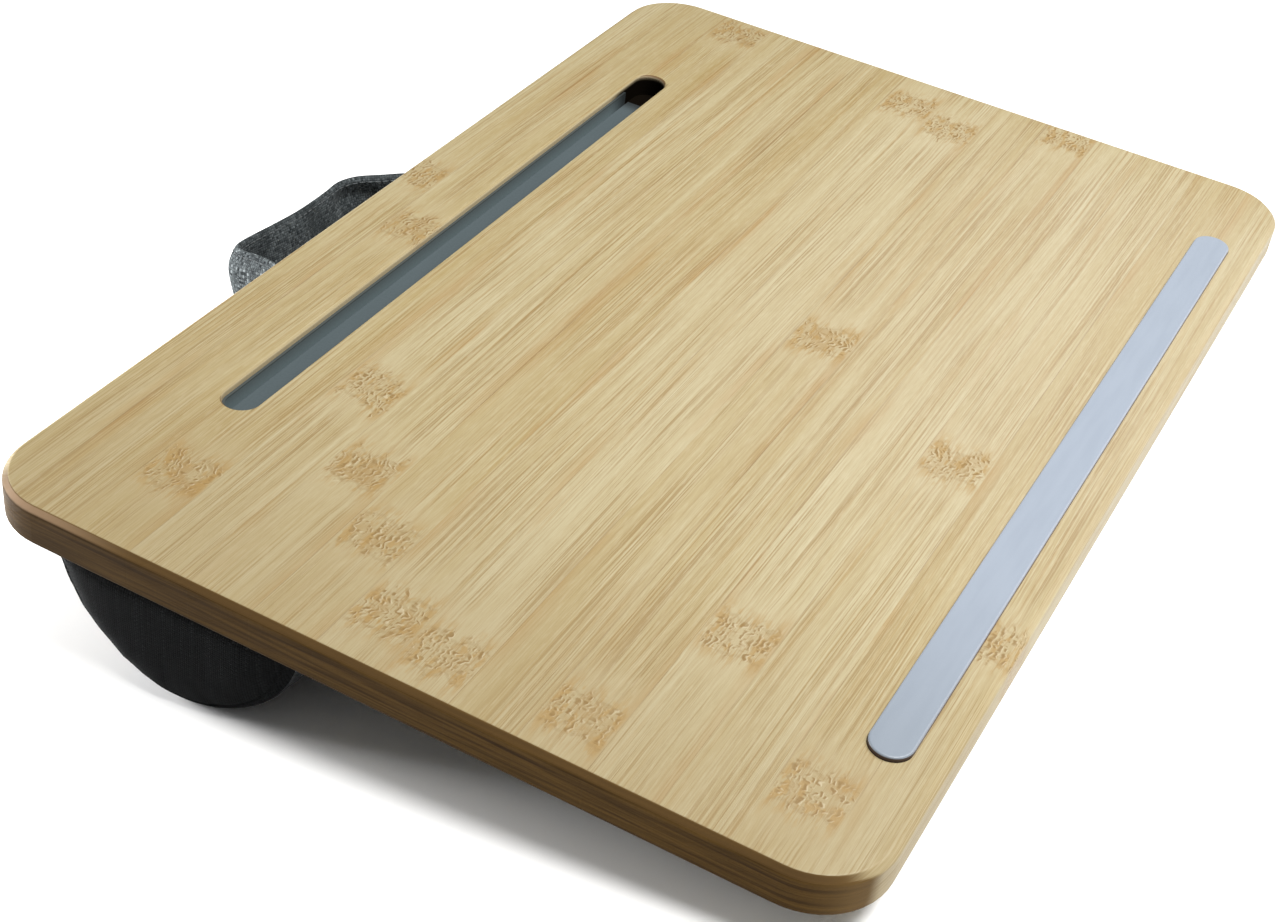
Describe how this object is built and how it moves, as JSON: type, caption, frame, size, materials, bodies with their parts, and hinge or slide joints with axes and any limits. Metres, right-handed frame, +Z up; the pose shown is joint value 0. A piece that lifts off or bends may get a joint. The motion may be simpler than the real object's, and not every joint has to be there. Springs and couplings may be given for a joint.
{
  "type": "lap desk",
  "caption": "Bamboo lap desk: rounded board with a grooved device slot and a stop strip, on a fabric cushion deeper at the rear, with a swinging cloth handle.",
  "frame": {"origin": "on the table, below the middle of the whole object's box as it rests on its cushion", "axes": "+X along the board's long side, +Y from the front (user's) edge to the rear edge and handle, +Z up from the table"},
  "size_m": [0.43, 0.3352, 0.0692],
  "materials": {
    "bamboo": "clear matt lacquer over laminated bamboo",
    "liner_grey": "matt soft strip",
    "strip_grey": "satin silicone",
    "tape": "thin adhesive tape",
    "hardboard": "plain hardboard",
    "screw_steel": "zinc plated",
    "washer_steel": "zinc plated",
    "staple_steel": "galvanised wire",
    "foam": "open-cell foam",
    "cover_cloth": "heather charcoal woven cloth",
    "end_cloth": "heather charcoal woven cloth",
    "handle_cloth": "heather grey woven cloth",
    "core_webbing": "woven webbing"
  },
  "bodies": {
    "desk": {"top_board": "bamboo", "slot_floor_strip": "liner_grey", "slot_wall_strip_front": "liner_grey", "slot_wall_strip_rear": "liner_grey", "stop_strip": "strip_grey", "stop_tape": "tape", "base_panel": "hardboard", "base_screws": "screw_steel", "cup_washers": "washer_steel", "cover_staples": "staple_steel", "rear_foam": "foam", "rear_sleeve": "cover_cloth", "rear_cap_left": "end_cloth", "rear_cap_right": "end_cloth", "front_foam": "foam", "front_sleeve": "cover_cloth", "front_cap_left": "end_cloth", "front_cap_right": "end_cloth", "centre_web": "cover_cloth", "handle_tab_left": "handle_cloth", "handle_tab_right": "handle_cloth"},
    "handle": {"handle_strap": "handle_cloth", "handle_core": "core_webbing"}
  },
  "joints": [
    {"name": "handle_swing", "type": "hinge", "parent": "desk", "child": "handle", "pos_m": [0, 0.09864, 0.03728], "axis": [1, 0, 0], "range_deg": [-16.5, 16]}
  ]
}
